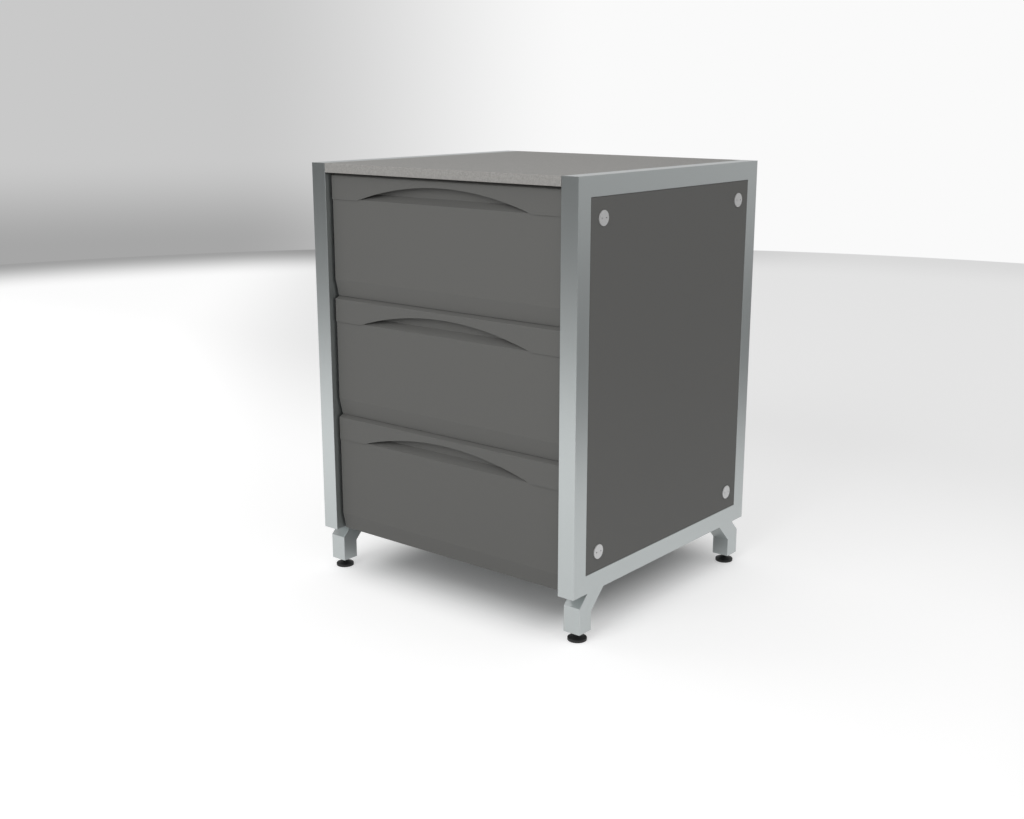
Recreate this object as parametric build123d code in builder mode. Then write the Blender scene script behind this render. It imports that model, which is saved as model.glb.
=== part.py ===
"""A three-drawer pedestal unit for under a bench.

Two welded side frames of square tube carry dark side panels, a back panel, a worktop
and three drawers on full-extension ball slides. Four bent feet with screw levellers
hold the unit off the floor. Millimetres, +Z up, the front faces -Y, and the origin is
on the floor below the middle of the unit.
"""

from build123d import *
import math
import os

os.makedirs("parts", exist_ok=True)

# Side frames and cross rails
frame_width = 535.0
frame_depth = 500.0
frame_height = 620.0
tube_size = 30.0
tube_wall = 2.0
tube_corner = 0.8
top_rail_height = 15.0
top_rail_wall = 1.5
cross_rail_gap = 4.1

# Feet and levellers
foot_height = 61.0
foot_inset = 15.5
foot_knee_drop = 18.6
foot_bend_angle = 45.0
insert_height = 14.0
insert_gap = 0.05
pad_radius = 15.0
pad_edge_height = 4.6
pad_edge_round = 0.8
pad_hub_radius = 6.2
pad_floor = 0.85
pad_top_hollow = 0.5
ball_joint_radius = 4.5
ball_joint_grip = 3.0
ball_joint_gap = 0.05
stud_neck_gap = 0.6
stud_radius = 5.0
stud_thread_gap = 0.05
stud_length = 40.0
stud_tip_chamfer = 1.0
collar_height = 4.5
collar_across_flats = 8.0
collar_lift = 1.8
collar_gap = 0.3

# Worktop and panels
worktop_thickness = 15.0
worktop_gap = 0.3
worktop_edge_round = 1.2
panel_thickness = 13.0
panel_recess = 0.3
panel_gap = 0.5
back_panel_thickness = 12.0
back_panel_recess = 3.0

# Disc bolts of the side panels, and the corner gussets that they screw into
disc_radius = 11.4
disc_thickness = 2.5
disc_proud = 1.6
disc_edge_round = 0.5
disc_inset = 60.6
disc_seat_gap = 0.15
disc_pin_radius = 1.1
disc_pin_spacing = 11.0
disc_bolt_radius = 4.0
disc_bolt_gap = 0.05
gusset_thickness = 3.0
gusset_leg = 80.0
weld_nut_radius = 7.0
weld_nut_height = 5.0

# Drawer fronts with their grip rails
drawer_count = 3
front_gap = 0.5
front_side_gap = 3.5
front_setback = 11.0
front_thickness = 17.5
front_corner = 0.3
front_fold_corner = 0.6
lowest_front_extra = 2.0
taper_height = 28.0
taper_depth = 6.5
taper_blend = 8.0
grip_sheet = 1.5
grip_bend = 2.0
grip_bevel_height = 4.2
grip_bevel_depth = 9.0
grip_height = 42.0
grip_back_drop = 25.0
arch_width = 355.0
arch_rise = 28.0
channel_end_margin = 8.5
channel_back_wall = 5.0
channel_lip = 1.2
channel_floor_rise = 9.3
channel_ceiling = 9.0
channel_corner = 5.0

# Drawer boxes of folded sheet
box_sheet = 1.5
box_bend = 2.2
box_back_gap = 10.0
box_headroom = 20.0
box_rail_gap = 6.0
box_hem = 9.5
box_hem_drop = 8.0
box_flange = 13.5
box_end_flange = 10.0
box_end_gap = 0.2
box_end_clearance = 0.5

# Ball slides: cabinet channel, middle channel, drawer channel and two ball cages
slide_front_gap = 4.0
slide_back_gap = 1.0
slide_thickness = 12.7
slide_height = 45.0
slide_sheet = 1.2
slide_bend = 1.8
slide_lift = 60.0
slide_stop_margin = 10.0
slide_lip = 2.9
slide_face_gap = 0.9
middle_shortening = 4.0
drawer_channel_shortening = 10.0
race_gap = 0.05
outer_ball_radius = 2.05
inner_ball_radius = 1.6
balls_per_row = 5
cage_sheet = 0.6
cage_bend = 1.2
cage_gap = 0.3
cage_hole_gap = 0.08
cage_margin = 25.0
cage_ball_setback = 2.8

# Rails between the posts that carry the slides
slide_rail_height = 40.0
slide_rail_wall = 1.5

# Screws
screw_radius = 2.0
screw_head_radius = 4.0
screw_head_height = 2.4
screw_head_round = 0.8
screw_socket_radius = 1.25
screw_socket_depth = 1.3
pilot_gap = 0.02
hole_gap = 0.15
worktop_screw_margin = 77.5
worktop_screw_bite = 11.0
back_screw_margin = 27.5
back_screw_bite = 8.0
front_screw_margin = 74.8
front_screw_low = 30.0
front_screw_high = 100.0
front_screw_bite = 12.0
grip_screw_margin = 35.5
grip_screw_spacing = 130.0
grip_screw_drop = 14.0
grip_screw_bite = 4.0
slide_screw_margin = 60.0
slide_screw_bite = 6.0

# How far a cut runs past the face that it opens, and how near a picked edge lies to its place
over_cut = 1.0
near = 0.1

# Places worked out from the sizes above
socket_radius = ball_joint_radius + ball_joint_gap
ball_joint_height = pad_floor + socket_radius
pad_height = ball_joint_height + ball_joint_grip
socket_mouth = math.sqrt(socket_radius ** 2 - ball_joint_grip ** 2)
stud_neck_radius = socket_mouth - stud_neck_gap
collar_base = pad_height + collar_lift
foot_base = collar_base + collar_height + collar_gap
frame_base = foot_base + foot_height
frame_top = frame_base + frame_height
front_y = -frame_depth / 2
back_y = frame_depth / 2
side_x = frame_width / 2
inner_x = side_x - tube_size
worktop_base = frame_top - worktop_thickness
drawer_pitch = (frame_height - worktop_thickness - lowest_front_extra) / drawer_count
front_height = drawer_pitch - front_gap
front_half_width = inner_x - front_side_gap
lip_y = front_y + front_setback
face_y = lip_y + grip_sheet
front_back_y = face_y + front_thickness
box_half_width = inner_x - slide_thickness
back_panel_y = back_y - back_panel_recess - back_panel_thickness
cross_front_y = front_back_y + grip_sheet + screw_head_height + cross_rail_gap
cross_back_y = back_panel_y - tube_size
foot_center_y = frame_depth / 2 - foot_inset - tube_size / 2
foot_center_x = side_x - tube_size / 2
gusset_depth = panel_recess + panel_thickness
slide_rail_thickness = tube_size - gusset_depth - gusset_thickness
slide_ends = (front_back_y + slide_front_gap, back_panel_y - slide_back_gap)
slide_length = slide_ends[1] - slide_ends[0]
slide_travel = slide_length - slide_stop_margin
box_length = back_panel_y - box_back_gap - front_back_y
box_lift = tube_size + box_rail_gap
box_height = drawer_pitch - top_rail_height - box_headroom - box_lift
channel_width = arch_width - 2 * channel_end_margin
channel_depth = front_thickness - channel_back_wall
disc_y = frame_depth / 2 - disc_inset
disc_heights = (frame_base + disc_inset, frame_top - disc_inset)


def drawer_base(number):
    """Height of the lower end of a drawer's space, counted from 1 at the top."""
    return worktop_base - number * drawer_pitch


def slide_center(number):
    """Height of the middle of a drawer's two slides."""
    return drawer_base(number) + box_lift + slide_lift


def save(piece, name):
    """Label a sub-part and write its STEP file."""
    piece.label = name
    export_step(piece, f"parts/{name}.step")


def screw(plane, length):
    """A button-head screw with its head's seat on the plane and its shank along -Z of it."""
    with BuildPart() as one_screw:
        with BuildSketch(plane):
            Circle(screw_head_radius)
        extrude(amount=screw_head_height)
        crown = one_screw.faces().sort_by(Axis(plane.origin, plane.z_dir))[-1]
        fillet(crown.edges(), screw_head_round)
        with BuildSketch(plane.offset(screw_head_height)):
            RegularPolygon(screw_socket_radius, 6)
        extrude(amount=-screw_socket_depth, mode=Mode.SUBTRACT)
        with BuildSketch(plane):
            Circle(screw_radius)
        extrude(amount=-length)
    return one_screw.part


def folded(points, thickness, bend, side):
    """A bent sheet's closed outline in the current sketch, from its outer face's corners."""
    with BuildLine() as outline:
        FilletPolyline(*points, radius=bend)
        offset(amount=thickness, side=side)
    make_face(outline.edges())


# Welded side frames: four mitred tubes each
def mitred_tube(x, start, end, inward):
    """One tube of a side frame, from outer corner to outer corner in the YZ plane."""
    along = (end - start).normalized()
    origin = start + inward * (tube_size / 2)
    with BuildPart() as tube:
        with BuildSketch(Plane((x, origin.Y, origin.Z), x_dir=(1, 0, 0), z_dir=along)):
            RectangleRounded(tube_size, tube_size, tube_corner)
            Rectangle(tube_size - 2 * tube_wall, tube_size - 2 * tube_wall, mode=Mode.SUBTRACT)
        extrude(amount=(end - start).length)
        split(bisect_by=Plane((x, start.Y, start.Z), z_dir=along - inward), keep=Keep.TOP)
        split(bisect_by=Plane((x, end.Y, end.Z), z_dir=-along - inward), keep=Keep.TOP)
    return tube.part.solid()


low_front = Vector(0, front_y, frame_base)
low_back = Vector(0, back_y, frame_base)
high_back = Vector(0, back_y, frame_top)
high_front = Vector(0, front_y, frame_top)
frame_sides = (
    (low_front, high_front, Vector(0, 1, 0)),
    (low_back, high_back, Vector(0, -1, 0)),
    (low_front, low_back, Vector(0, 0, 1)),
    (high_front, high_back, Vector(0, 0, -1)),
)
for side, hand in (("left", -1), ("right", 1)):
    tubes = [mitred_tube(hand * foot_center_x, *ends) for ends in frame_sides]
    save(Compound(children=tubes), f"side_frame_{side}")


# Cross rails between the side frames
def cross_rail(y, z, height, wall):
    """A rail across the unit, with its front lower edge at y and z."""
    with BuildPart() as rail:
        middle = Plane((-inner_x, y + tube_size / 2, z + height / 2), x_dir=(0, 1, 0), z_dir=(1, 0, 0))
        with BuildSketch(middle):
            RectangleRounded(tube_size, height, tube_corner)
            Rectangle(tube_size - 2 * wall, height - 2 * wall, mode=Mode.SUBTRACT)
        extrude(amount=2 * inner_x)
    return rail.part


def screw_holes(places, radius, depth):
    """Round holes cut into the part being built, from each plane along its -Z."""
    for place in places:
        with BuildSketch(place) as hole:
            Circle(radius)
        extrude(hole.sketch, amount=-depth, mode=Mode.SUBTRACT)


top_rail_base = worktop_base - top_rail_height
worktop_screws = [
    Plane((x, y + tube_size / 2, top_rail_base), z_dir=(0, 0, -1))
    for y in (cross_front_y, cross_back_y)
    for x in (worktop_screw_margin - inner_x, inner_x - worktop_screw_margin)
]
back_screws = [
    Plane((x, back_panel_y + back_panel_thickness, z), z_dir=(0, 1, 0))
    for x in (back_screw_margin - inner_x, 0, inner_x - back_screw_margin)
    for z in (frame_base + tube_size / 2, top_rail_base + top_rail_height / 2)
]
worktop_screw_length = top_rail_height + worktop_screw_bite
back_screw_length = back_panel_thickness + back_screw_bite

for end, y in (("front", cross_front_y), ("back", cross_back_y)):
    with BuildPart() as top_rail:
        add(cross_rail(y, top_rail_base, top_rail_height, top_rail_wall))
        screw_holes(worktop_screws, screw_radius + hole_gap, worktop_screw_length)
        screw_holes(back_screws, screw_radius + hole_gap, back_screw_length)
    save(top_rail.part, f"cross_rail_top_{end}")
    with BuildPart() as bottom_rail:
        add(cross_rail(y, frame_base, tube_size, tube_wall))
        screw_holes(back_screws, screw_radius + hole_gap, back_screw_length)
    save(bottom_rail.part, f"cross_rail_bottom_{end}")


# Feet: square tube with one mitred bend, upright at the floor and slanted at the rail
def foot_outline(inset):
    """The foot's outline as (distance from the frame's end face, height), set in by inset."""
    slant = math.radians(foot_bend_angle)
    front = foot_inset + inset
    back = foot_inset + tube_size - inset
    outer_knee = foot_height - foot_knee_drop
    bend_step = math.tan(slant / 2)
    front_knee = outer_knee - inset * bend_step
    back_knee = outer_knee - (tube_size - inset) * bend_step
    front_top = front + (foot_height - front_knee) * math.tan(slant)
    back_top = back + (foot_height - back_knee) * math.tan(slant)
    return [(front, 0), (back, 0), (back, back_knee), (back_top, foot_height),
            (front_top, foot_height), (front, front_knee)]


def in_foot_plane(outline, end):
    """Turn the foot's outline into points of the YZ plane at the front or back end."""
    return [(end * (frame_depth / 2 - y), foot_base + z) for y, z in outline]


for end, end_name in ((-1, "front"), (1, "back")):
    for hand, side in ((-1, "left"), (1, "right")):
        with BuildPart() as foot:
            with BuildSketch(Plane.YZ.offset(hand * foot_center_x)):
                with BuildLine():
                    Polyline(*in_foot_plane(foot_outline(0), end), close=True)
                make_face()
            extrude(amount=tube_size / 2, both=True)
            fillet(foot.edges().filter_by(GeomType.LINE).filter_by(Axis.X, reverse=True)
                   .filter_by(lambda edge: abs(edge.center().Z - frame_base) > near
                              and abs(edge.center().Z - foot_base) > near), tube_corner)
            with BuildSketch(Plane.YZ.offset(hand * foot_center_x)):
                with BuildLine():
                    Polyline(*in_foot_plane(foot_outline(tube_wall), end), close=True)
                make_face()
            extrude(amount=tube_size / 2 - tube_wall, both=True, mode=Mode.SUBTRACT)
        save(foot.part, f"foot_{end_name}_{side}")

leveller_places = [(hand * foot_center_x, end * foot_center_y) for end in (-1, 1) for hand in (-1, 1)]
insert_size = tube_size - 2 * tube_wall - 2 * insert_gap
with BuildPart() as leveller_inserts:
    with BuildSketch(Plane.XY.offset(foot_base)):
        with Locations(*leveller_places):
            Rectangle(insert_size, insert_size)
            Circle(stud_radius, mode=Mode.SUBTRACT)
    extrude(amount=insert_height)
save(leveller_inserts.part, "leveller_inserts")

# Levellers: a nylon pad with a ball socket, and a stud with a ball end and a hexagon collar
for (x, y), place in zip(leveller_places, ("front_left", "front_right", "back_left", "back_right")):
    with BuildPart() as pad:
        with BuildSketch(Plane((x, y, 0), x_dir=(1, 0, 0), z_dir=(0, -1, 0))):
            with BuildLine():
                Line((0, 0), (pad_radius - pad_edge_round, 0))
                RadiusArc((pad_radius - pad_edge_round, 0), (pad_radius, pad_edge_round), -pad_edge_round)
                Line((pad_radius, pad_edge_round), (pad_radius, pad_edge_height))
                SagittaArc((pad_radius, pad_edge_height), (pad_hub_radius, pad_height), pad_top_hollow)
                Line((pad_hub_radius, pad_height), (socket_mouth, pad_height))
                ThreePointArc((socket_mouth, pad_height), (socket_radius, ball_joint_height),
                              (0, ball_joint_height - socket_radius))
                Line((0, ball_joint_height - socket_radius), (0, 0))
            make_face()
        revolve(axis=Axis((x, y, 0), (0, 0, 1)))
        rim = pad.edges().filter_by(lambda edge: abs(edge.center().Z - pad_edge_height) < near)
        fillet(rim, pad_edge_round)
    save(pad.part, f"leveller_pad_{place}")

    with BuildPart(Plane((x, y, 0))) as stud:
        with Locations((0, 0, ball_joint_height)):
            Sphere(ball_joint_radius)
        with BuildSketch(Plane((x, y, ball_joint_height))):
            Circle(stud_neck_radius)
        extrude(amount=collar_base - ball_joint_height)
        with BuildSketch(Plane((x, y, collar_base))):
            RegularPolygon(collar_across_flats / 2, 6, major_radius=False)
        extrude(amount=collar_height)
        with BuildSketch(Plane((x, y, collar_base + collar_height))):
            Circle(stud_radius - stud_thread_gap)
        extrude(amount=stud_length)
        chamfer(stud.faces().sort_by(Axis.Z)[-1].edges(), stud_tip_chamfer)
    save(stud.part, f"leveller_stud_{place}")

# Worktop
with BuildPart() as worktop:
    with BuildSketch(Plane.XY.offset(worktop_base)):
        Rectangle(2 * (inner_x - worktop_gap), frame_depth)
    extrude(amount=worktop_thickness)
    long_edges = worktop.edges().filter_by(Axis.X)
    fillet(long_edges, worktop_edge_round)
    screw_holes(worktop_screws, screw_radius + pilot_gap, worktop_screw_length)
save(worktop.part, "worktop")

# Side panels with their disc bolts and the gussets that hold them
gusset_places = [(end, z, up) for end in (-1, 1) for z, up in zip(disc_heights, (1, -1))]
for hand, side in ((-1, "left"), (1, "right")):
    panel_face = side_x - panel_recess
    outer_face = Plane((hand * panel_face, 0, 0), x_dir=(0, 1, 0), z_dir=(hand, 0, 0))
    panel_height = frame_height - 2 * tube_size - 2 * panel_gap
    with BuildPart() as side_panel:
        with BuildSketch(outer_face):
            with Locations((0, (hand * (frame_base + frame_top) / 2))):
                Rectangle(frame_depth - 2 * tube_size - 2 * panel_gap, panel_height)
        extrude(amount=-panel_thickness)
        with BuildSketch(outer_face):
            with Locations(*[(end * disc_y, hand * z) for end, z, up in gusset_places]):
                Circle(disc_radius + disc_seat_gap)
        extrude(amount=disc_proud - disc_thickness, mode=Mode.SUBTRACT)
        with BuildSketch(outer_face):
            with Locations(*[(end * disc_y, hand * z) for end, z, up in gusset_places]):
                Circle(disc_bolt_radius + disc_seat_gap)
        extrude(amount=-panel_thickness, mode=Mode.SUBTRACT)
    save(side_panel.part, f"side_panel_{side}")


def disc_bolt(hand, y, z):
    """A flat two-pin disc with a threaded shank that reaches through the weld nut."""
    face = side_x - panel_recess + disc_proud
    outer_face = Plane((hand * face, y, z), x_dir=(0, 1, 0), z_dir=(hand, 0, 0))
    reach = face - (side_x - gusset_depth - gusset_thickness - weld_nut_height)
    with BuildPart() as bolt:
        with BuildSketch(outer_face):
            Circle(disc_radius)
        extrude(amount=-disc_thickness)
        rim = bolt.faces().sort_by(Axis.X)[-1 if hand > 0 else 0].edges()
        fillet(rim, disc_edge_round)
        with BuildSketch(outer_face):
            with Locations((-disc_pin_spacing / 2, 0), (disc_pin_spacing / 2, 0)):
                Circle(disc_pin_radius)
        extrude(amount=-disc_thickness, mode=Mode.SUBTRACT)
        with BuildSketch(outer_face.offset(-disc_thickness)):
            Circle(disc_bolt_radius - disc_bolt_gap)
        extrude(amount=disc_thickness - reach)
    return bolt.part


def corner_gusset(hand, end, z, up):
    """A triangular plate welded into one corner of a side frame, with its weld nut."""
    plate_x = hand * (side_x - gusset_depth)
    inner_y = end * (frame_depth / 2 - tube_size)
    inner_z = z - up * (disc_inset - tube_size)
    with BuildPart() as gusset:
        plate_face = Plane((plate_x, 0, 0), x_dir=(0, 1, 0), z_dir=(-hand, 0, 0))
        flip = -hand
        with BuildSketch(plate_face):
            with BuildLine():
                Polyline((inner_y, flip * inner_z), (inner_y - end * gusset_leg, flip * inner_z),
                         (inner_y, flip * (inner_z + up * gusset_leg)), close=True)
            make_face()
        extrude(amount=gusset_thickness)
        with BuildSketch(plate_face.offset(gusset_thickness)):
            with Locations((end * disc_y, flip * z)):
                RegularPolygon(weld_nut_radius, 6)
        extrude(amount=weld_nut_height)
        with BuildSketch(plate_face):
            with Locations((end * disc_y, flip * z)):
                Circle(disc_bolt_radius)
        extrude(amount=gusset_thickness + weld_nut_height, mode=Mode.SUBTRACT)
    return gusset.part


save(Compound(children=[disc_bolt(hand, end * disc_y, z).solid()
                        for hand in (-1, 1) for end, z, up in gusset_places]), "panel_disc_bolts")
save(Compound(children=[corner_gusset(hand, end, z, up).solid()
                        for hand in (-1, 1) for end, z, up in gusset_places]), "corner_gussets")

# Back panel, screwed to the rear cross rails
with BuildPart() as back_panel:
    back_low = frame_base + panel_gap
    back_high = worktop_base - panel_gap
    middle = Plane((0, back_panel_y, (back_low + back_high) / 2), x_dir=(1, 0, 0), z_dir=(0, 1, 0))
    with BuildSketch(middle):
        Rectangle(2 * (inner_x - panel_gap), back_high - back_low)
    extrude(amount=back_panel_thickness)
    screw_holes(back_screws, screw_radius + hole_gap, back_screw_length)
save(back_panel.part, "back_panel")

# Slide rails: flat tubes between the posts, one on each side of every drawer
slide_screw_y = (slide_ends[0] + slide_screw_margin, slide_ends[1] - slide_screw_margin)
cabinet_slide_screws = [
    Plane((hand * (inner_x - slide_sheet), y, slide_center(number)), z_dir=(-hand, 0, 0))
    for hand in (-1, 1) for number in range(1, drawer_count + 1) for y in slide_screw_y
]
with BuildPart() as slide_rails:
    for hand in (-1, 1):
        for number in range(1, drawer_count + 1):
            rail_x = hand * (inner_x + slide_rail_thickness / 2)
            start = Plane((rail_x, front_y + tube_size, slide_center(number)),
                          x_dir=(1, 0, 0), z_dir=(0, 1, 0))
            with BuildSketch(start):
                Rectangle(slide_rail_thickness, slide_rail_height)
                Rectangle(slide_rail_thickness - 2 * slide_rail_wall,
                          slide_rail_height - 2 * slide_rail_wall, mode=Mode.SUBTRACT)
            extrude(amount=frame_depth - 2 * tube_size)
    screw_holes(cabinet_slide_screws, screw_radius + pilot_gap, slide_sheet + slide_screw_bite)
save(slide_rails.part, "slide_rails")


# Screws of the cabinet
def flush_screw(plane, length):
    """A countersunk screw that lies flush in the cabinet channel's web."""
    head_radius = screw_radius + slide_sheet
    with BuildPart() as one_screw:
        with BuildSketch(plane):
            Circle(head_radius)
        with BuildSketch(plane.offset(-slide_sheet)):
            Circle(screw_radius)
        loft()
        with BuildSketch(plane.offset(-slide_sheet)):
            Circle(screw_radius)
        extrude(amount=slide_sheet - length)
    return one_screw.part


cabinet_screws = [screw(place, worktop_screw_length) for place in worktop_screws]
cabinet_screws += [screw(place, back_screw_length) for place in back_screws]
cabinet_screws += [flush_screw(place, slide_sheet + slide_screw_bite) for place in cabinet_slide_screws]
save(Compound(children=[piece.solid() for piece in cabinet_screws]), "cabinet_screws")

# Slide channels and cages, drawn as depth from the post's inner face and height from the middle
outer_race = slide_height / 2 - slide_sheet
middle_height = outer_race - 2 * (outer_ball_radius + race_gap)
inner_race = middle_height - slide_sheet
drawer_channel_height = inner_race - 2 * (inner_ball_radius + race_gap)
outer_cage_depth = slide_sheet + cage_gap
middle_depth = outer_cage_depth + cage_sheet + cage_gap
inner_cage_depth = middle_depth + slide_sheet + cage_gap
drawer_flange_depth = inner_cage_depth + cage_sheet + cage_gap
channel_edge = slide_thickness - slide_sheet - slide_face_gap
outer_ball_z = (outer_race + middle_height) / 2
inner_ball_z = (inner_race + drawer_channel_height) / 2
outer_ball_depth = channel_edge - cage_sheet - outer_ball_radius - cage_ball_setback / 2
inner_ball_depth = channel_edge - inner_ball_radius - cage_ball_setback / 2
cage_length = slide_length - slide_travel / 2 - cage_margin
cage_center = (slide_ends[0] + slide_ends[1]) / 2
ball_step = cage_length / balls_per_row


def slide_section(center, y, outline, thickness, bend, side, length):
    """A folded channel on both sides of the unit, from y towards the back."""
    start = Plane((inner_x, y, center), x_dir=(-1, 0, 0), z_dir=(0, 1, 0))
    with BuildPart() as channel:
        with BuildSketch(start):
            folded(outline, thickness, bend, side)
        extrude(amount=length)
        mirror(about=Plane.YZ)
    return channel.part


def u_outline(depth, edge, height):
    """A channel's outer corners: open towards the drawer when depth is under edge."""
    return [(edge, height), (depth, height), (depth, -height), (edge, -height)]


def ball_cage(center, depth, edge, height, ball_depth, ball_radius):
    """A U-shaped retainer with two rows of balls on each side of the unit."""
    y = cage_center - cage_length / 2
    ball_y = [y + ball_step * (row + 0.5) for row in range(balls_per_row)]
    outline = u_outline(depth, edge, height + cage_sheet / 2)
    with BuildPart() as cage:
        add(slide_section(center, y, outline, cage_sheet, cage_bend, Side.LEFT, cage_length))
        for hand in (-1, 1):
            with BuildSketch(Plane((hand * (inner_x - ball_depth), 0, center))):
                with Locations(*[(0, place) for place in ball_y]):
                    Circle(ball_radius + cage_hole_gap)
            extrude(amount=height + cage_sheet, both=True, mode=Mode.SUBTRACT)
    with BuildPart() as balls:
        with Locations(*[(hand * (inner_x - ball_depth), place, center + level)
                         for hand in (-1, 1) for level in (-height, height) for place in ball_y]):
            Sphere(ball_radius)
    return Compound(children=list(cage.part.solids()) + list(balls.part.solids()))


def slide_pieces(number):
    """Write the five slide pieces of one drawer, each for the left and the right side."""
    center = slide_center(number)
    y = slide_ends[0]
    lip = outer_race + slide_sheet - slide_lip
    cabinet_outline = [(channel_edge, lip)] + u_outline(0, channel_edge, slide_height / 2)
    cabinet_outline.append((channel_edge, -lip))
    cabinet_channel = slide_section(center, y, cabinet_outline, slide_sheet, slide_bend,
                                    Side.LEFT, slide_length)
    with BuildPart() as with_holes:
        add(cabinet_channel)
        for place in cabinet_slide_screws:
            if abs(place.origin.Z - center) < near:
                with BuildSketch(place):
                    Circle(screw_radius + slide_sheet)
                with BuildSketch(place.offset(-slide_sheet)):
                    Circle(screw_radius)
                loft(mode=Mode.SUBTRACT)
    save(with_holes.part, f"slide_{number}_cabinet_channels")

    middle = slide_section(center, y, u_outline(middle_depth, channel_edge, middle_height),
                           slide_sheet, slide_bend, Side.LEFT, slide_length - middle_shortening)
    save(middle, f"slide_{number}_middle_channels")

    save(ball_cage(center, outer_cage_depth, channel_edge - cage_ball_setback / 2,
                   outer_ball_z, outer_ball_depth, outer_ball_radius), f"slide_{number}_outer_cages")
    save(ball_cage(center, inner_cage_depth, channel_edge - cage_gap,
                   inner_ball_z, inner_ball_depth, inner_ball_radius), f"slide_{number}_inner_cages")

    outline = u_outline(slide_thickness, drawer_flange_depth, drawer_channel_height)
    length = slide_length - drawer_channel_shortening
    drawer_channel = slide_section(center, y, outline, slide_sheet, slide_bend, Side.RIGHT, length)
    with BuildPart() as drawer_channels:
        add(drawer_channel)
        screw_holes(drawer_slide_screws(number), screw_radius + pilot_gap, box_sheet + slide_sheet)
    save(drawer_channels.part, f"slide_{number}_drawer_channels")


def drawer_slide_screws(number):
    """Screws from inside the drawer box through its side into the drawer channel."""
    return [Plane((hand * (box_half_width - box_sheet), y, slide_center(number)), z_dir=(-hand, 0, 0))
            for hand in (-1, 1) for y in slide_screw_y]


# Drawers
def drawer_screws(number):
    """Seats of the screws that hold the front, the grip rail and the slides."""
    box_base = drawer_base(number) + box_lift
    wall_y = front_back_y + box_sheet
    top = drawer_base(number) + front_height
    front_screw_x = box_half_width - front_screw_margin
    grip_screw_x = front_half_width - grip_screw_margin
    front = [Plane((x, wall_y, box_base + z), z_dir=(0, 1, 0))
             for x in (-front_screw_x, front_screw_x)
             for z in (front_screw_low, front_screw_high)]
    grip = [Plane((hand * x, front_back_y + grip_sheet, top - grip_screw_drop), z_dir=(0, 1, 0))
            for hand in (-1, 1) for x in (grip_screw_x - grip_screw_spacing, grip_screw_x)]
    return front, grip


def front_panel(number):
    """The moulded front: bevelled top, finger channel and a bottom that tapers back.

    The lowest one reaches down to the lower edge of the side frames.
    """
    base = frame_base if number == drawer_count else drawer_base(number)
    top = drawer_base(number) + front_height
    front_screws, grip_screws = drawer_screws(number)
    with BuildPart() as front:
        with BuildSketch(Plane.YZ.offset(-front_half_width)):
            with BuildLine():
                Polyline(
                    (face_y + taper_depth, base),
                    (face_y, base + taper_height),
                    (face_y, top - grip_bevel_height - grip_sheet),
                    (face_y + grip_bevel_depth, top - grip_sheet),
                    (front_back_y, top - grip_sheet),
                    (front_back_y, base),
                    close=True,
                )
            make_face()
        extrude(amount=2 * front_half_width)
        taper_edge = front.edges().filter_by(Axis.X).sort_by_distance((0, face_y, base + taper_height))[0]
        fillet(taper_edge, taper_blend)
        for y, z, corner in ((face_y + taper_depth, base, front_corner),
                             (front_back_y, top - grip_sheet, front_fold_corner)):
            fillet(front.edges().filter_by(Axis.X).sort_by_distance((0, y, z))[0], corner)
        channel_low = top - grip_height + channel_lip
        channel_slope = channel_floor_rise / channel_depth
        with BuildSketch(Plane.YZ.offset(-channel_width / 2)):
            with BuildLine():
                Polyline(
                    (face_y - over_cut, channel_low - over_cut * channel_slope),
                    (face_y + channel_depth, channel_low + channel_floor_rise),
                    (face_y + channel_depth, top - channel_ceiling),
                    (face_y - over_cut, top - channel_ceiling),
                    close=True,
                )
            make_face()
        extrude(amount=channel_width, mode=Mode.SUBTRACT)
        upright = front.edges().filter_by(Axis.Z).filter_by(
            lambda edge: abs(edge.center().Y - face_y - channel_depth) < near)
        fillet(upright, channel_corner)
        screw_holes(front_screws, screw_radius + pilot_gap, front_screw_bite + box_sheet)
        screw_holes(grip_screws, screw_radius + pilot_gap, grip_screw_bite + grip_sheet)
    return front.part


def grip_rail(number):
    """Folded sheet over the front's top edge, with the arched cut-out for the fingers."""
    top = drawer_base(number) + front_height
    seam = top - grip_height
    grip_screws = drawer_screws(number)[1]
    arch_radius = ((arch_width / 2) ** 2 + arch_rise ** 2) / (2 * arch_rise)
    with BuildPart() as grip:
        with BuildSketch(Plane.YZ.offset(-front_half_width)):
            outline = [
                (lip_y, seam),
                (lip_y, top - grip_bevel_height),
                (lip_y + grip_bevel_depth, top),
                (front_back_y + grip_sheet, top),
                (front_back_y + grip_sheet, top - grip_back_drop),
            ]
            folded(outline, grip_sheet, grip_bend, Side.RIGHT)
        extrude(amount=2 * front_half_width)
        with BuildSketch(Plane((0, face_y + grip_sheet, seam), x_dir=(1, 0, 0), z_dir=(0, -1, 0))):
            with BuildLine():
                RadiusArc((-arch_width / 2, 0), (arch_width / 2, 0), arch_radius)
                Polyline((arch_width / 2, 0), (arch_width / 2, -grip_sheet),
                         (-arch_width / 2, -grip_sheet), (-arch_width / 2, 0))
            make_face()
        extrude(amount=2 * grip_sheet + over_cut, mode=Mode.SUBTRACT)
        screw_holes(grip_screws, screw_radius + hole_gap, grip_sheet + over_cut)
    return grip.part


def box_sides(number):
    """Folded side walls with a hemmed top and a flange under the bottom sheet."""
    base = drawer_base(number) + box_lift
    start = Plane((box_half_width, front_back_y, base), x_dir=(-1, 0, 0), z_dir=(0, 1, 0))
    with BuildPart() as sides:
        with BuildSketch(start):
            outline = [(box_hem, -box_height + box_hem_drop), (box_hem, -box_height),
                       (0, -box_height), (0, 0), (box_flange, 0)]
            folded([(x, -y) for x, y in outline], box_sheet, box_bend, Side.LEFT)
        extrude(amount=box_length)
        mirror(about=Plane.YZ)
        screw_holes(drawer_slide_screws(number), screw_radius + hole_gap, box_sheet)
    return sides.part


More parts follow.
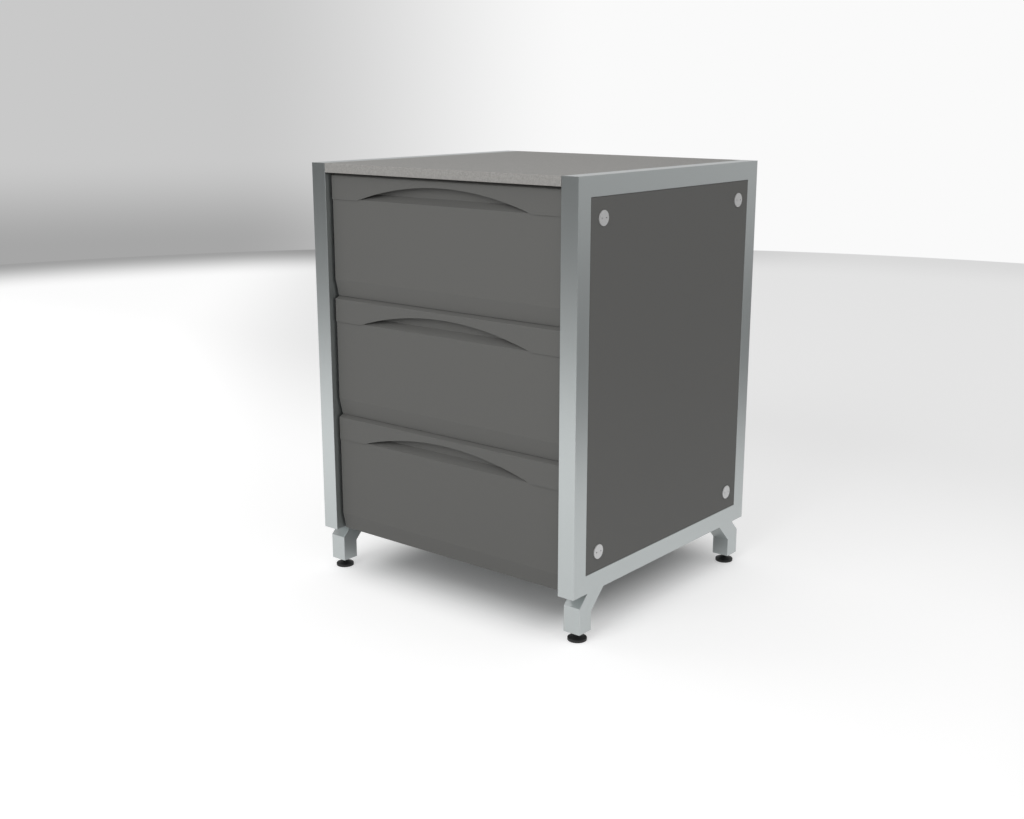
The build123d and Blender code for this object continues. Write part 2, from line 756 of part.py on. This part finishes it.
def box_ends(number):
    """Front and back walls, standing on the bottom sheet under the side walls' hems."""
    base = drawer_base(number) + box_lift + 2 * box_sheet
    height = box_height - box_hem_drop - box_end_clearance - 2 * box_sheet
    half_width = box_half_width - box_sheet - box_end_gap
    front_screws = drawer_screws(number)[0]
    with BuildPart() as ends:
        for wall_y, inward in ((front_back_y, 1), (front_back_y + box_length, -1)):
            with BuildSketch(Plane.YZ.offset(-half_width)):
                outline = [(wall_y, base), (wall_y, base + height),
                           (wall_y + inward * box_end_flange, base + height)]
                folded(outline, box_sheet, box_bend, Side.RIGHT if inward > 0 else Side.LEFT)
            extrude(amount=2 * half_width)
        screw_holes(front_screws, screw_radius + hole_gap, box_sheet)
    return ends.part


def box_bottom(number):
    """The bottom sheet, lying on the side walls' flanges."""
    base = drawer_base(number) + box_lift + box_sheet
    half_width = box_half_width - box_bend
    with BuildPart() as bottom:
        with BuildSketch(Plane((0, front_back_y + box_length / 2, base))):
            Rectangle(2 * half_width, box_length)
        extrude(amount=box_sheet)
    return bottom.part


for number in range(1, drawer_count + 1):
    slide_pieces(number)
    save(front_panel(number), f"drawer_{number}_front")
    save(grip_rail(number), f"drawer_{number}_grip_rail")
    save(box_sides(number), f"drawer_{number}_box_sides")
    save(box_ends(number), f"drawer_{number}_box_ends")
    save(box_bottom(number), f"drawer_{number}_box_bottom")
    front_screws, grip_screws = drawer_screws(number)
    screws = [screw(place, front_screw_bite + box_sheet) for place in front_screws]
    screws += [screw(place, grip_screw_bite + grip_sheet) for place in grip_screws]
    screws += [screw(place, box_sheet + slide_sheet) for place in drawer_slide_screws(number)]
    save(Compound(children=[piece.solid() for piece in screws]), f"drawer_{number}_screws")
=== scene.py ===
"""A three-drawer pedestal unit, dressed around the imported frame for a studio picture."""

import bmesh
import bpy
import math
from mathutils import Euler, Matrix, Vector


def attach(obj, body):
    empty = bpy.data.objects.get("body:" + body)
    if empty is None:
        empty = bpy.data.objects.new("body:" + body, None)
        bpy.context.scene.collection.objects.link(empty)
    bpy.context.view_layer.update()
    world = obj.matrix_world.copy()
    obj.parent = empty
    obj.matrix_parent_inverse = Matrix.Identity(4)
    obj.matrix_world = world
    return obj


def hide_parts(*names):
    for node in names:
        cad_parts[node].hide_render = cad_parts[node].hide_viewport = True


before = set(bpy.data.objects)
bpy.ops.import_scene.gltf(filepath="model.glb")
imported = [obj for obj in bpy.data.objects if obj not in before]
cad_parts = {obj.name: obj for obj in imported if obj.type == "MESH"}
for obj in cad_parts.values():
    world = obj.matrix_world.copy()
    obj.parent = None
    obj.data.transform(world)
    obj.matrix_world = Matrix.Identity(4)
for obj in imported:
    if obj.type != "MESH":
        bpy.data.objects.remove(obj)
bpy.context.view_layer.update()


# Camera. The photograph's viewpoint, solved from the corners of the side frames, which are
# 620 mm high and 500 mm deep: a lens 0.82 m above the floor, looking down at the right corner.
camera_azimuth = math.radians(39.115)
camera_elevation = math.radians(14.044)
camera_place = Vector((1.331445, -1.703159, 0.818370))
camera_data = bpy.data.cameras.new("photo_camera")
camera_data.sensor_width = 36.0
camera_data.lens = 45.70
camera = bpy.data.objects.new("photo_camera", camera_data)
camera.location = camera_place
camera.rotation_euler = Euler((math.pi / 2 - camera_elevation, 0, camera_azimuth))
bpy.context.scene.collection.objects.link(camera)
bpy.context.scene.camera = camera
bpy.context.scene.view_settings.view_transform = "Standard"


# Studio floor. A wide disc of white paint with painted shade and painted light. Its colour turns
# greyer far out on the left, at the rim, on the right and towards the photographer, as painted
# shade where no lamp would reach it. A glow seen only by the camera and in gloss paints a pool of
# light at the front and on the left, and is held back under the unit as a painted shadow, on top of
# the shadow the lamps cast there.
def hex_colour(code):
    """An sRGB hex colour as linear red, green, blue and alpha."""
    channels = [int(code[i:i + 2], 16) / 255 for i in (1, 3, 5)]
    linear = [c / 12.92 if c <= 0.04045 else ((c + 0.055) / 1.055) ** 2.4 for c in channels]
    return (*linear, 1.0)


def add_node(tree, kind, sockets=None, **settings):
    """Add a node; sockets maps each input to a value or to another node's output."""
    made = tree.nodes.new(kind)
    for name, value in settings.items():
        setattr(made, name, value)
    for socket, value in (sockets or {}).items():
        if isinstance(value, bpy.types.NodeSocket):
            tree.links.new(value, made.inputs[socket])
        else:
            made.inputs[socket].default_value = value
    return made


def new_material(name):
    """An empty node material with its output node and the object's own coordinates."""
    made = bpy.data.materials.new(name)
    made.use_nodes = True
    tree = made.node_tree
    tree.nodes.clear()
    output = tree.nodes.new("ShaderNodeOutputMaterial")
    return made, tree, output, add_node(tree, "ShaderNodeTexCoord").outputs["Object"]


def new_object(name, mesh, material):
    """Turn a bmesh into an object of one material."""
    data = bpy.data.meshes.new(name)
    mesh.to_mesh(data)
    mesh.free()
    made = bpy.data.objects.new(name, data)
    bpy.context.scene.collection.objects.link(made)
    data.materials.append(material)
    return made


def calculate(tree, operation, *values):
    """The result of one step of arithmetic."""
    return add_node(tree, "ShaderNodeMath", dict(enumerate(values)),
                    operation=operation).outputs["Value"]


def calculate_vector(tree, operation, *values):
    """The result of one step of vector arithmetic, a number where the step gives one."""
    result = "Value" if operation in ("LENGTH", "DOT_PRODUCT") else "Vector"
    return add_node(tree, "ShaderNodeVectorMath", dict(enumerate(values)),
                    operation=operation).outputs[result]


def soft_step(tree, value, near, far, start=0.0, end=1.0):
    """A soft step from start to end as a value goes from near to far."""
    return add_node(tree, "ShaderNodeMapRange",
                    {"Value": value, "From Min": near, "From Max": far,
                     "To Min": start, "To Max": end},
                    interpolation_type="SMOOTHSTEP").outputs["Result"]


def toward(tree, place, side, near, far, start=0.0, end=1.0):
    """A soft step as a place or a direction moves out towards a side."""
    return soft_step(tree, calculate_vector(tree, "DOT_PRODUCT", place, side),
                     near, far, start, end)


def tone(tree, amount, start, end):
    """A colour between two others; each may be a hex code or another node's output."""
    start, end = [hex_colour(end) if isinstance(end, str) else end for end in (start, end)]
    return add_node(tree, "ShaderNodeMix", {"Factor": amount, "A": start, "B": end},
                    data_type="RGBA").outputs["Result"]


def seen_directly(tree, strength):
    """A strength for rays from the camera and off gloss or glass, and 0 for all others."""
    ray = add_node(tree, "ShaderNodeLightPath").outputs
    seen = ray["Is Camera Ray"]
    for kind in ("Is Glossy Ray", "Is Transmission Ray"):
        seen = calculate(tree, "MAXIMUM", seen, ray[kind])
    return calculate(tree, "MULTIPLY", seen, strength)


floor_radius, rim_start = 4.6, 3.75
left_side = Vector((-0.94, -0.34, 0.0))
room_side = Vector((-0.12, -0.99, 0.0))
right_side = Vector((0.95, 0.30, 0.0))
front_side = Vector((0.0, -1.0, 0.0))
front_left_side = Vector((-0.75, -0.66, 0.0))
# The box under the unit where the floor's glow is held back, a painted shadow, and how far outside
# it the glow comes back.
shadow_middle, shadow_half, shadow_spread = (-0.005, 0.02, 0.0), (0.155, 0.16, 0.0), 0.16
# The floor's lit colour is about a quarter darker than its painted colour, so less light bounces
# off it; the glow adds back what the camera and gloss see.
floor_darkening = 0.26

floor_paint_and_painted_light, tree, output, place = new_material("white_cove_paint_and_painted_light")
outward = calculate_vector(tree, "NORMALIZE", place)
rim = soft_step(tree, calculate_vector(tree, "LENGTH", place), rim_start, floor_radius)
# Painted shade: the white paint turns grey far out on the left, at the rim, on the right and
# towards the photographer.
rim_painted_shade = tone(tree, toward(tree, outward, left_side, -0.05, 0.45), "#ededed", "#9c9c9c")
paint_with_painted_shade = tone(tree, rim, "#f7f7f7", rim_painted_shade)
paint_with_painted_shade = tone(tree, toward(tree, place, right_side, 0.75, 1.5), paint_with_painted_shade, "#9a9a9a")
paint_with_painted_shade = tone(tree, toward(tree, place, room_side, 1.3, 2.2), paint_with_painted_shade, "#969696")
lit = add_node(tree, "ShaderNodeBsdfDiffuse",
               {"Color": tone(tree, floor_darkening, paint_with_painted_shade, "#000000")})

# Painted light: a glow seen by the camera and in gloss makes the floor whiter at the front and on
# the left, a painted pool of light.
painted_light_front = toward(tree, place, front_side, -1.2, -0.1, 0.38, 0.54)
painted_light_left = toward(tree, place, front_left_side, 0.5, 1.2, 0.0, 0.22)
painted_light = calculate(tree, "ADD", painted_light_front, painted_light_left)
# Painted shadow: inside the box under the unit the glow falls to a twentieth, and it rises again
# over shadow_spread outside the box.
distance_from_painted_shadow = calculate_vector(tree, "SUBTRACT", place, shadow_middle)
distance_from_painted_shadow = calculate_vector(tree, "ABSOLUTE", distance_from_painted_shadow)
distance_from_painted_shadow = calculate_vector(tree, "SUBTRACT", distance_from_painted_shadow, shadow_half)
distance_from_painted_shadow = calculate_vector(tree, "MAXIMUM", distance_from_painted_shadow, (0.0, 0.0, 0.0))
distance_from_painted_shadow = calculate_vector(tree, "LENGTH", distance_from_painted_shadow)
painted_light = calculate(tree, "MULTIPLY", painted_light, soft_step(tree, distance_from_painted_shadow, 0.0, shadow_spread, 0.05, 1.0))
painted_glow = add_node(tree, "ShaderNodeEmission",
                {"Color": paint_with_painted_shade, "Strength": seen_directly(tree, painted_light)})
both = add_node(tree, "ShaderNodeAddShader",
                {0: lit.outputs["BSDF"], 1: painted_glow.outputs["Emission"]})
tree.links.new(both.outputs["Shader"], output.inputs["Surface"])

disc = bmesh.new()
bmesh.ops.create_circle(disc, cap_ends=True, segments=128, radius=floor_radius)
new_object("studio_floor", disc, floor_paint_and_painted_light)


# Studio light. An even white surround lights the unit; what the camera and glossy paint see of it
# is the room itself: a pale wall, grey on the left and higher up, and a darker room behind the
# photographer. One large soft lamp hangs in front of the unit and one high on its left.
up = Vector((0.0, 0.0, 1.0))
world = bpy.data.worlds.new("studio_surround")
bpy.context.scene.world = world
world.use_nodes = True
tree = world.node_tree
tree.nodes.clear()
output = tree.nodes.new("ShaderNodeOutputWorld")
direction = add_node(tree, "ShaderNodeTexCoord").outputs["Generated"]
left_wall = tone(tree, toward(tree, direction, up, -0.115, -0.05), "#a6a6a6", "#c9c9c9")
wall = tone(tree, toward(tree, direction, left_side, 0.27, 0.52), "#fafafa", left_wall)
wall = tone(tree, toward(tree, direction, up, 0.08, 0.24), wall, "#c6c6c6")
wall = tone(tree, toward(tree, direction, right_side, 0.3, 0.8), wall, "#cbcbcb")
room = tone(tree, toward(tree, direction, up, 0.1, 0.8), "#525252", "#a8a8a8")
seen = tone(tree, toward(tree, direction, room_side, 0.2, 0.6), wall, room)
seen = add_node(tree, "ShaderNodeBackground", {"Color": seen, "Strength": 1.0})
even = add_node(tree, "ShaderNodeBackground",
                {"Color": (1.0, 1.0, 1.0, 1.0),
                 "Strength": toward(tree, direction, up, 0.0, 0.9, 0.84, 0.50)})
both = add_node(tree, "ShaderNodeMixShader",
                {"Fac": seen_directly(tree, 1.0), 1: even.outputs["Background"],
                 2: seen.outputs["Background"]})
tree.links.new(both.outputs["Shader"], output.inputs["Surface"])

lamp_size = 1.6
lamp_aim = Vector((0.0, 0.0, 0.45))
for name, power, lamp_place in (("front_softbox", 19.0, (0.2, -2.1, 1.55)),
                                ("left_softbox", 5.0, (-1.6, -0.8, 2.6))):
    lamp_data = bpy.data.lights.new(name, "AREA")
    lamp_data.shape = "DISK"
    lamp_data.size = lamp_size
    lamp_data.energy = power
    lamp = bpy.data.objects.new(name, lamp_data)
    lamp.location = lamp_place
    lamp.visible_camera = False
    lamp.rotation_euler = (lamp_aim - lamp.location).to_track_quat("-Z", "Y").to_euler()
    bpy.context.scene.collection.objects.link(lamp)


# Side frames, cross rails, feet and what is welded to them. Square steel tube, mitred and welded,
# the seams ground flush, and the whole frame then powder coated in a silver grey.
def dress(material, *names):
    """Give CAD nodes their finish."""
    for name in names:
        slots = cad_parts[name].data.materials
        slots.clear()
        slots.append(material)


def fine_bump(tree, place, grain, strength, depth):
    """A normal with an even fine grain, its size and depth given in metres."""
    noise = add_node(tree, "ShaderNodeTexNoise",
                     {"Vector": place, "Scale": 1 / grain, "Detail": 3.0, "Roughness": 0.5})
    return add_node(tree, "ShaderNodeBump", {"Height": noise.outputs["Fac"], "Strength": strength,
                                             "Distance": depth}).outputs["Normal"]


def mottle(tree, place, patch, dark, light):
    """A colour that wanders between two near shades over patches of a size in metres."""
    noise = add_node(tree, "ShaderNodeTexNoise",
                     {"Vector": place, "Scale": 1 / patch, "Detail": 4.0, "Roughness": 0.6})
    return tone(tree, noise.outputs["Fac"], dark, light)


def new_finish(name, colours, grain, constants):
    """A material from mottled colours (patch, dark, light), a grain (size, strength, depth) or
    None where it is polished, and the shader's constants."""
    made, tree, output, place = new_material(name)
    sockets = {"Base Color": mottle(tree, place, *colours), **constants}
    if grain:
        sockets["Normal"] = fine_bump(tree, place, *grain)
    shader = add_node(tree, "ShaderNodeBsdfPrincipled", sockets)
    tree.links.new(shader.outputs["BSDF"], output.inputs["Surface"])
    return made


sides = ("left", "right")
ends = ("front", "back")
# Powder coat with aluminium flake, baked on steel: satin, a little metallic, with a faint
# orange peel about 1.5 mm across
silver_coat = new_finish("silver_powder_coat", (0.0009, "#b7bcbc", "#c0c5c5"),
                         (0.0015, 0.12, 0.0003), {"Metallic": 0.9, "Roughness": 0.30})
dress(silver_coat, *[f"side_frame_{side}" for side in sides])
dress(silver_coat, *[f"cross_rail_{level}_{end}" for level in ("top", "bottom") for end in ends])
dress(silver_coat, *[f"foot_{end}_{side}" for end in ends for side in sides])
dress(silver_coat, "corner_gussets", "slide_rails")


# Weld fillers. Where each foot meets the lower rail of its side frame, the rail's rounded edges are
# filled with weld metal and ground flush before painting, so no line shows. Wedges along the joint.
def new_piece(name, mesh, body, material):
    """Turn a bmesh into a finished piece that rides on a body."""
    piece = new_object(name, mesh, material)
    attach(piece, body)
    return piece


corner, corner_steps = 0.0008, 6
rail_low, rail_outer, rail_inner = 0.0760, 0.2675, 0.2375
frame_end = 0.2500
joint_start, joint_end = frame_end - 0.0765, frame_end - 0.0341
corner_turns = [math.pi / 2 * step / corner_steps for step in range(corner_steps + 1)]
filler = bmesh.new()
for hand in (-1, 1):
    for end in (-1, 1):
        for face, middle in ((rail_outer, rail_outer - corner), (rail_inner, rail_inner + corner)):
            arc = [(middle + (face - middle) * math.cos(turn),
                    rail_low + corner * (1 - math.sin(turn))) for turn in corner_turns]
            section = [(face, rail_low), *arc]
            starts, stops = [[filler.verts.new((hand * x, end * y, z)) for x, z in section]
                             for y in (joint_start, joint_end)]
            filler.faces.new(starts)
            filler.faces.new(stops)
            for low in range(len(section)):
                high = (low + 1) % len(section)
                filler.faces.new((starts[low], starts[high], stops[high], stops[low]))
bmesh.ops.recalc_face_normals(filler, faces=filler.faces)
new_piece("foot_weld_fillers", filler, "cabinet", silver_coat)


# Leveller pads and inserts. Moulded black nylon pads, each snapped over the ball end of its stud,
# and zinc-plated threaded inserts pressed into the feet.
black_nylon = new_finish("black_moulded_nylon", (0.004, "#0e0e0e", "#161616"),
                         (0.0006, 0.15, 0.0001), {"Roughness": 0.55, "IOR": 1.53})
zinc = new_finish("zinc_plated_steel", (0.006, "#b4b7ba", "#c6c9cc"),
                  (0.0008, 0.08, 0.0001), {"Metallic": 1.0, "Roughness": 0.34})
dress(black_nylon, *[f"leveller_pad_{end}_{side}" for end in ends for side in sides])
dress(zinc, "leveller_inserts")


# Leveller studs. Blackened steel, turned with a ball end, a neck and a hexagon, and cut with a
# right-handed M10 by 1.5 thread that shows once a pad is lowered. Each stands for its plain solid.
blackened_steel = new_finish("blackened_steel", (0.003, "#262728", "#303132"),
                             (0.0005, 0.15, 0.0001), {"Metallic": 0.8, "Roughness": 0.42})
ball_middle, ball_radius, ball_steps = 0.0054, 0.0045, 20
neck_radius = 0.00282
hexagon_low, hexagon_high, hexagon_corner = 0.0102, 0.0147, 0.004 / math.cos(math.pi / 6)
overlap = 0.0002
crest_radius, thread_depth, thread_pitch = 0.00495, 0.00092, 0.0015
thread_start, thread_full, thread_end, stud_top = 0.0152, 0.0162, 0.0537, 0.0547
crest_share, root_share = 0.125, 0.165
rows_per_pitch, round_sides = 10, 48
sharp_edge = math.radians(30)
stud_x, stud_y = 0.2525, 0.2195


def groove(angle, z):
    """How deep the thread is cut at an angle round the stud and a height."""
    if z > thread_end:
        return 0.0
    phase = (z / thread_pitch - angle / (2 * math.pi)) % 1.0
    slope = (abs(phase - 0.5) - root_share / 2) / (0.5 - (crest_share + root_share) / 2)
    run_out = min(max((z - thread_start) / (thread_full - thread_start), 0.0), 1.0)
    return thread_depth * run_out * (1.0 - min(max(slope, 0.0), 1.0))


def uncut(angle, z):
    """The depth of no groove at all."""
    return 0.0


def turned(mesh, middle, outline, count, cut=uncut):
    """Add a closed body turned from pairs of radius and height, which start and end at radius 0."""
    rings = []
    for radius, z in outline:
        angles = [2 * math.pi * step / count for step in range(count if radius else 1)]
        rings.append([mesh.verts.new((middle[0] + (radius - cut(angle, z)) * math.cos(angle),
                                      middle[1] + (radius - cut(angle, z)) * math.sin(angle), z))
                      for angle in angles])
    for low, high in zip(rings, rings[1:]):
        for step in range(count):
            following = (step + 1) % count
            corners = [low[step % len(low)], low[following % len(low)],
                       high[following % len(high)], high[step % len(high)]]
            mesh.faces.new(list(dict.fromkeys(corners)))


ball_end = math.pi - math.asin(neck_radius / ball_radius)
ball_turns = [ball_end * step / ball_steps for step in range(ball_steps + 1)]
ball_and_neck = [*[(ball_radius * math.sin(turn), ball_middle - ball_radius * math.cos(turn))
                   for turn in ball_turns],
                 (neck_radius, hexagon_low + overlap), (0.0, hexagon_low + overlap)]
hexagon = [(0.0, hexagon_low), (hexagon_corner, hexagon_low),
           (hexagon_corner, hexagon_high + overlap), (0.0, hexagon_high + overlap)]
thread_length = thread_end - thread_start
row_count = round(thread_length / thread_pitch * rows_per_pitch)
shank = [(0.0, hexagon_high), (crest_radius, hexagon_high),
         *[(crest_radius, thread_start + thread_length * row / row_count)
           for row in range(row_count + 1)],
         (crest_radius - stud_top + thread_end, stud_top), (0.0, stud_top)]
for end, y in zip(ends, (-stud_y, stud_y)):
    for side, x in zip(sides, (-stud_x, stud_x)):
        stud = bmesh.new()
        turned(stud, (x, y), ball_and_neck, round_sides)
        turned(stud, (x, y), hexagon, 6)
        turned(stud, (x, y), shank, round_sides, groove)
        bmesh.ops.recalc_face_normals(stud, faces=stud.faces)
        threaded = new_piece(f"threaded_stud_{end}_{side}", stud, f"stud_{end}_{side}",
                             blackened_steel)
        threaded.data.shade_smooth()
        threaded.data.set_sharp_from_angle(angle=sharp_edge)
        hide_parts(f"leveller_stud_{end}_{side}")


# Worktop. A 15 mm board with a grey speckled laminate on top and round the front and back edges,
# chips of pale and dark grey up to about 2 mm. Screwed from below.
chip_size = 0.0016
speckle, tree, output, place = new_material("speckled_laminate")
chips = add_node(tree, "ShaderNodeTexVoronoi", {"Vector": place, "Scale": 1 / chip_size})
chip_tone = add_node(tree, "ShaderNodeSeparateColor", {"Color": chips.outputs["Color"]})
ramp = add_node(tree, "ShaderNodeValToRGB", {"Fac": chip_tone.outputs["Red"]})
ramp.color_ramp.elements[0].color = hex_colour("#8f8e8b")
ramp.color_ramp.elements[1].color = hex_colour("#9f9d9a")
shader = add_node(tree, "ShaderNodeBsdfPrincipled",
                  {"Base Color": ramp.outputs["Color"], "Roughness": 0.55,
                   "Specular IOR Level": 0.28,
                   "Normal": fine_bump(tree, place, 0.0012, 0.06, 0.0002)})
tree.links.new(shader.outputs["BSDF"], output.inputs["Surface"])
dress(speckle, "worktop")


# Side panels and back panel. Boards faced with dark grey melamine, matt, with a barely visible
# pressed texture. The side panels are held by disc bolts, the back panel by screws.
melamine = new_finish("dark_grey_melamine", (0.0012, "#686866", "#6d6d6b"),
                      (0.0018, 0.25, 0.0002), {"Roughness": 0.62, "Specular IOR Level": 0.3})
dress(melamine, "side_panel_left", "side_panel_right", "back_panel")


# Disc bolts of the side panels. Turned steel discs, satin nickel plated, tightened with a pin
# spanner in their two small holes.
satin_nickel = new_finish("satin_nickel_plate", (0.002, "#d0d0d0", "#dadada"),
                          (0.0005, 0.10, 0.0001), {"Metallic": 0.5, "Roughness": 0.40})
dress(satin_nickel, "panel_disc_bolts")


# Screws and ball slides. Bright zinc-plated steel; the slides are roll-formed from 1.2 mm strip
# and run on polished balls in pressed cages.
drawers = (1, 2, 3)
ball_steel = new_finish("polished_ball_steel", (0.003, "#c9c9cb", "#d2d2d4"),
                        None, {"Metallic": 1.0, "Roughness": 0.14})
dress(zinc, "cabinet_screws", *[f"drawer_{number}_screws" for number in drawers])
dress(zinc, *[f"slide_{number}_{channel}_channels" for number in drawers
              for channel in ("cabinet", "middle", "drawer")])
dress(ball_steel, *[f"slide_{number}_{row}_cages" for number in drawers
                    for row in ("outer", "inner")])


# Drawer fronts and grip rails. Moulded panels wrapped in a dark grey matt foil, and over the top of
# each a grip rail of folded sheet, powder coated to match and a shade smoother.
front_colours = (0.0012, "#636361", "#686866")
front_foil = new_finish("dark_grey_matt_foil", front_colours,
                        (0.0010, 0.12, 0.0002), {"Roughness": 0.60, "Specular IOR Level": 0.2})
grip_coat = new_finish("dark_grey_powder_coat", front_colours,
                       (0.0014, 0.10, 0.0002), {"Roughness": 0.54, "Specular IOR Level": 0.2})
dress(front_foil, *[f"drawer_{number}_front" for number in drawers])
dress(grip_coat, *[f"drawer_{number}_grip_rail" for number in drawers])


# Drawer boxes. Folded from 1.5 mm steel sheet and powder coated in a light grey.
box_coat = new_finish("light_grey_powder_coat", (0.0012, "#a5a8a8", "#acafaf"),
                      (0.0014, 0.12, 0.0002), {"Roughness": 0.45})
dress(box_coat, *[f"drawer_{number}_box_{part}" for number in drawers
                  for part in ("sides", "ends", "bottom")])
